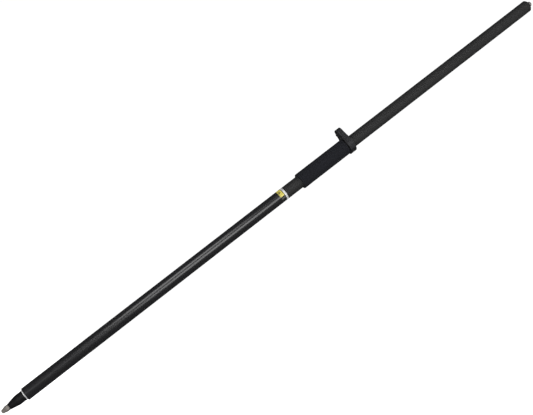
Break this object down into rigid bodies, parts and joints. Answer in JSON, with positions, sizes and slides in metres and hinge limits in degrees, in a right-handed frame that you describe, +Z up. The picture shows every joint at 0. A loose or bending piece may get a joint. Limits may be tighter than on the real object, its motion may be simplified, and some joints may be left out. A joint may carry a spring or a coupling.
{
  "type": "prism pole",
  "caption": "Two-section carbon-fibre surveying pole with a steel point, foam grip, clamped level vial arm and a threaded prism stud on top.",
  "frame": {"origin": "middle of the flat end of the steel tip, on the pole's axis", "axes": "+Z runs up the pole from the tip to the prism stud; the arm of the level vial points along -X and the clamp screw's head faces -Y"},
  "size_m": [0.0856, 0.0572, 2.013],
  "materials": {
    "gloss_carbon": "clear-coated woven carbon-fibre tube",
    "satin_carbon": "satin carbon-fibre tube with a fine weave",
    "black_anodised": "black anodised turned aluminium",
    "bare_aluminium": "bright turned aluminium",
    "steel": "hardened steel, brushed and handled",
    "bright_steel": "machined stainless steel",
    "black_oxide": "blackened steel screws",
    "black_nylon": "black nylon",
    "grip_foam": "fine closed-cell black foam rubber",
    "label_print": "printed vinyl label",
    "vial_spirit": "tinted spirit",
    "vial_clear": "polished acrylic"
  },
  "bodies": {
    "lower_section": {"lower_tube": "gloss_carbon", "foot_plug": "bare_aluminium", "lower_end_socket": "bare_aluminium", "label_patch": "label_print"},
    "point_washer": {"point_washer": "bare_aluminium"},
    "pole_point": {"point_body": "black_anodised"},
    "tip_washer": {"tip_washer": "bright_steel"},
    "steel_tip": {"steel_tip": "steel"},
    "joint_washer": {"joint_washer": "black_nylon"},
    "upper_section": {"upper_tube": "satin_carbon", "upper_end_plug": "bare_aluminium", "joint_stud": "bright_steel", "joint_stud_pin": "steel", "grip_sleeve": "grip_foam", "top_plug": "black_anodised", "top_stud": "bright_steel", "top_stud_pin": "steel"},
    "bracket_liner": {"bracket_liner": "black_nylon"},
    "vial_bracket": {"vial_bracket": "black_anodised", "clamp_nut": "black_oxide"},
    "clamp_screw": {"clamp_screw": "black_oxide"},
    "vial_spring": {"vial_spring": "bright_steel"},
    "vial": {"vial_case": "bare_aluminium", "vial_fluid": "vial_spirit", "vial_window": "vial_clear", "vial_bezel": "black_anodised"},
    "adjusting_screw_1": {"adjusting_screw_1": "black_oxide"},
    "adjusting_screw_2": {"adjusting_screw_2": "black_oxide"},
    "adjusting_screw_3": {"adjusting_screw_3": "black_oxide"}
  },
  "joints": [
    {"name": "point_travel", "type": "slide", "parent": "lower_section", "child": "point_washer", "axis": [0, 0, -1], "range_m": [0, 0.015]},
    {"name": "point_turn", "type": "hinge", "parent": "point_washer", "child": "pole_point", "pos_m": [0, 0, 0.06], "axis": [0, 0, -1], "range_deg": [0, 2340]},
    {"name": "tip_travel", "type": "slide", "parent": "pole_point", "child": "tip_washer", "axis": [0, 0, -1], "range_m": [0, 0.0111]},
    {"name": "tip_turn", "type": "hinge", "parent": "tip_washer", "child": "steel_tip", "pos_m": [0, 0, 0.01], "axis": [0, 0, -1], "range_deg": [0, 2520]},
    {"name": "section_lift", "type": "slide", "parent": "lower_section", "child": "joint_washer", "axis": [0, 0, 1], "range_m": [0, 0.0184]},
    {"name": "section_turn", "type": "hinge", "parent": "joint_washer", "child": "upper_section", "pos_m": [0, 0, 0.9955], "axis": [0, 0, 1], "range_deg": [0, 2880]},
    {"name": "bracket_height", "type": "slide", "parent": "upper_section", "child": "bracket_liner", "axis": [0, 0, 1], "range_m": [0, 0.73]},
    {"name": "bracket_swing", "type": "hinge", "parent": "bracket_liner", "child": "vial_bracket", "pos_m": [0, 0, 1.2418], "axis": [0, 0, 1], "continuous": true},
    {"name": "clamp_turn", "type": "hinge", "parent": "vial_bracket", "child": "clamp_screw", "pos_m": [0.0248, -0.0077, 1.2418], "axis": [0, -1, 0], "range_deg": [0, 540]},
    {"name": "vial_rock", "type": "hinge", "parent": "vial_bracket", "child": "vial_spring", "pos_m": [-0.042, 0, 1.2405], "axis": [1, 0, 0], "range_deg": [-1.5, 1.5]},
    {"name": "vial_pitch", "type": "hinge", "parent": "vial_spring", "child": "vial", "pos_m": [-0.042, 0, 1.2405], "axis": [0, 1, 0], "range_deg": [-1.5, 1.5]},
    {"name": "adjust_turn_1", "type": "hinge", "parent": "vial_bracket", "child": "adjusting_screw_1", "pos_m": [-0.03377, -0.00475, 1.2343], "axis": [0, 0, -1], "range_deg": [-180, 180]},
    {"name": "adjust_turn_2", "type": "hinge", "parent": "vial_bracket", "child": "adjusting_screw_2", "pos_m": [-0.042, 0.0095, 1.2343], "axis": [0, 0, -1], "range_deg": [-180, 180]},
    {"name": "adjust_turn_3", "type": "hinge", "parent": "vial_bracket", "child": "adjusting_screw_3", "pos_m": [-0.05023, -0.00475, 1.2343], "axis": [0, 0, -1], "range_deg": [-180, 180]}
  ],
  "couplings": [
    {"joint": "point_turn", "follows": "point_travel", "rad_per_m": 2721.1},
    {"joint": "tip_turn", "follows": "tip_travel", "rad_per_m": 3957.9},
    {"joint": "section_turn", "follows": "section_lift", "rad_per_m": 2721.1}
  ]
}
